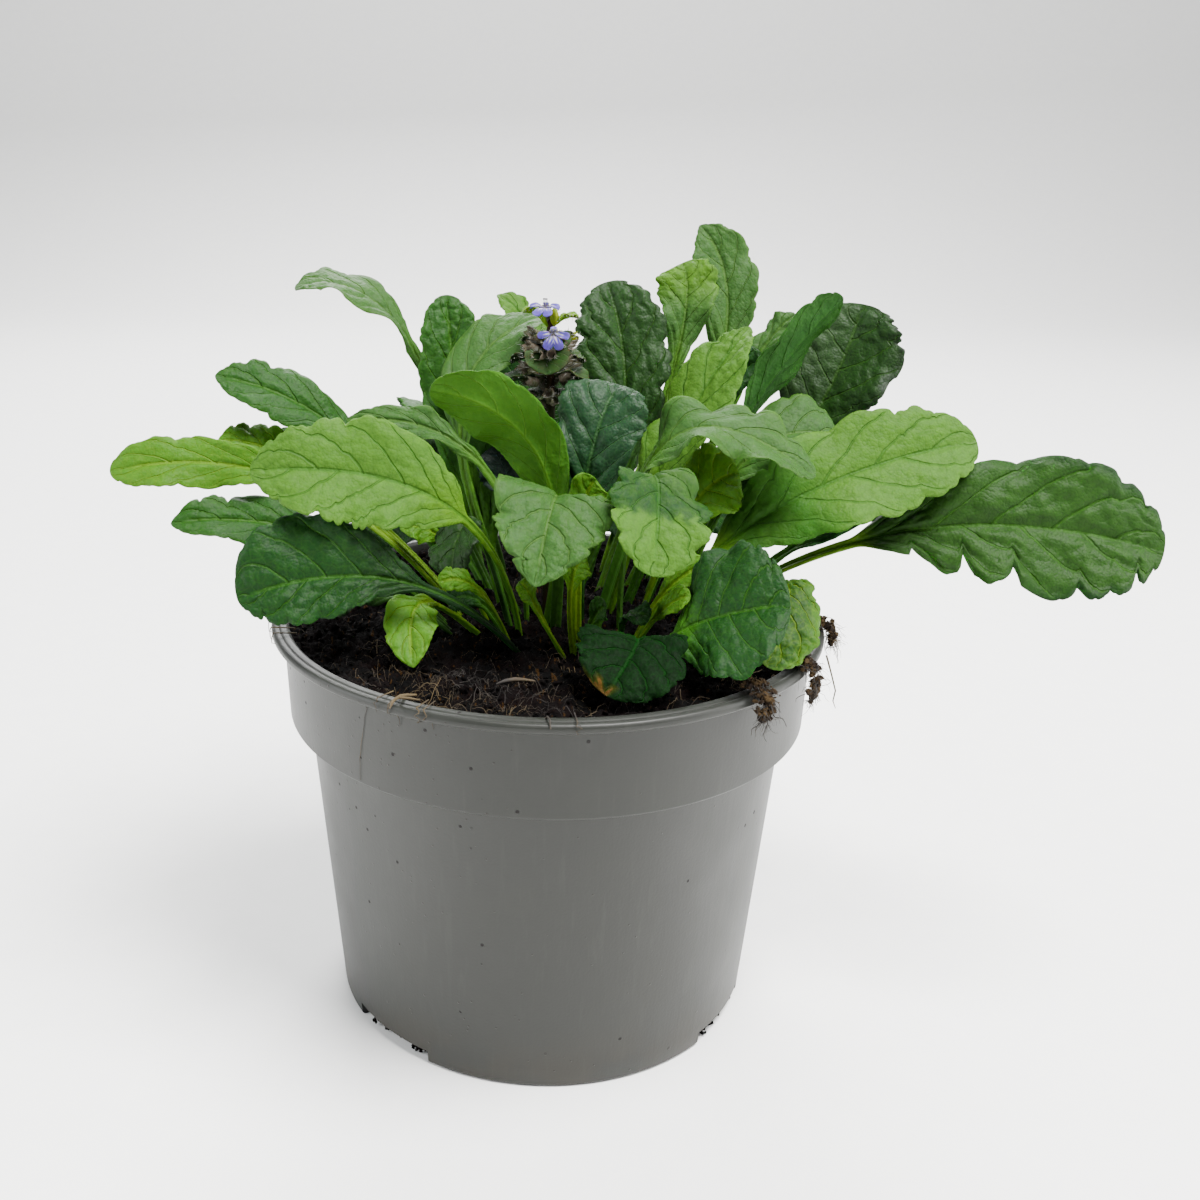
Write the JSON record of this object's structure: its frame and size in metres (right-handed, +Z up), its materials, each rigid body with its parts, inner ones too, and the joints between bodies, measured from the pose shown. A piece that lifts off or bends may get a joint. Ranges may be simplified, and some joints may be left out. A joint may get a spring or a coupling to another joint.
{
  "type": "potted bugleweed plant",
  "caption": "Low rosette of scalloped, spoon-shaped green leaves with a short blue flower spike, growing in compost in a round grey plastic nursery pot with a collar and a rolled lip.",
  "frame": {"origin": "on the pot's axis, in the plane of its underside, where the plant stands on the ground", "axes": "+Z up along the pot's axis, +X to the right and +Y away from the viewer who sees the flower spike in front and the largest leaf on the right"},
  "size_m": [0.3111, 0.2085, 0.2359],
  "materials": {
    "pot": "satin grey moulded polypropylene",
    "compost": "moist fibrous peat compost",
    "leaf_pale": "young leaf, soft satin",
    "leaf_light": "leaf, soft satin",
    "leaf_middle": "leaf, soft satin",
    "leaf_dark": "leaf, satin",
    "leaf_bluish": "leaf, satin with a blue-green cast",
    "bracts": "hairy bracts, dull",
    "petals": "thin petals, soft",
    "roots": "dry peat and fine roots"
  },
  "bodies": {
    "root": {"pot": "pot", "soil": "compost", "leaf_01": "leaf_pale", "leaf_02": "leaf_middle", "leaf_03": "leaf_dark", "leaf_04": "leaf_light", "leaf_05": "leaf_middle", "leaf_06": "leaf_dark", "leaf_07": "leaf_dark", "leaf_08": "leaf_pale", "leaf_09": "leaf_bluish", "leaf_10": "leaf_light", "leaf_11": "leaf_middle", "leaf_12": "leaf_middle", "leaf_13": "leaf_light", "leaf_14": "leaf_light", "leaf_15": "leaf_pale", "leaf_16": "leaf_bluish", "leaf_17": "leaf_dark", "leaf_18": "leaf_light", "leaf_19": "leaf_middle", "leaf_20": "leaf_light", "leaf_21": "leaf_dark", "leaf_22": "leaf_middle", "leaf_23": "leaf_pale", "leaf_24": "leaf_dark", "leaf_25": "leaf_middle", "leaf_26": "leaf_light", "leaf_27": "leaf_middle", "leaf_28": "leaf_dark", "leaf_29": "leaf_dark", "leaf_30": "leaf_dark", "leaf_31": "leaf_pale", "leaf_32": "leaf_dark", "leaf_33": "leaf_light", "leaf_34": "leaf_middle", "leaf_35": "leaf_light", "leaf_36": "leaf_bluish", "leaf_37": "leaf_middle", "leaf_38": "leaf_dark", "leaf_39": "leaf_middle", "leaf_40": "leaf_dark", "leaf_41": "leaf_light", "leaf_42": "leaf_middle", "leaf_43": "leaf_dark", "leaf_44": "leaf_dark", "leaf_45": "leaf_dark", "leaf_46": "leaf_middle", "young_leaf": "leaf_pale", "shoot_front": "leaf_pale", "shoot_right": "leaf_pale", "shoot_left": "leaf_pale", "flower_spike": "bracts", "flower_front": "petals", "flower_top": "petals", "root_tuft_1": "roots", "root_tuft_2": "roots", "root_tuft_3": "roots"}
  },
  "joints": []
}
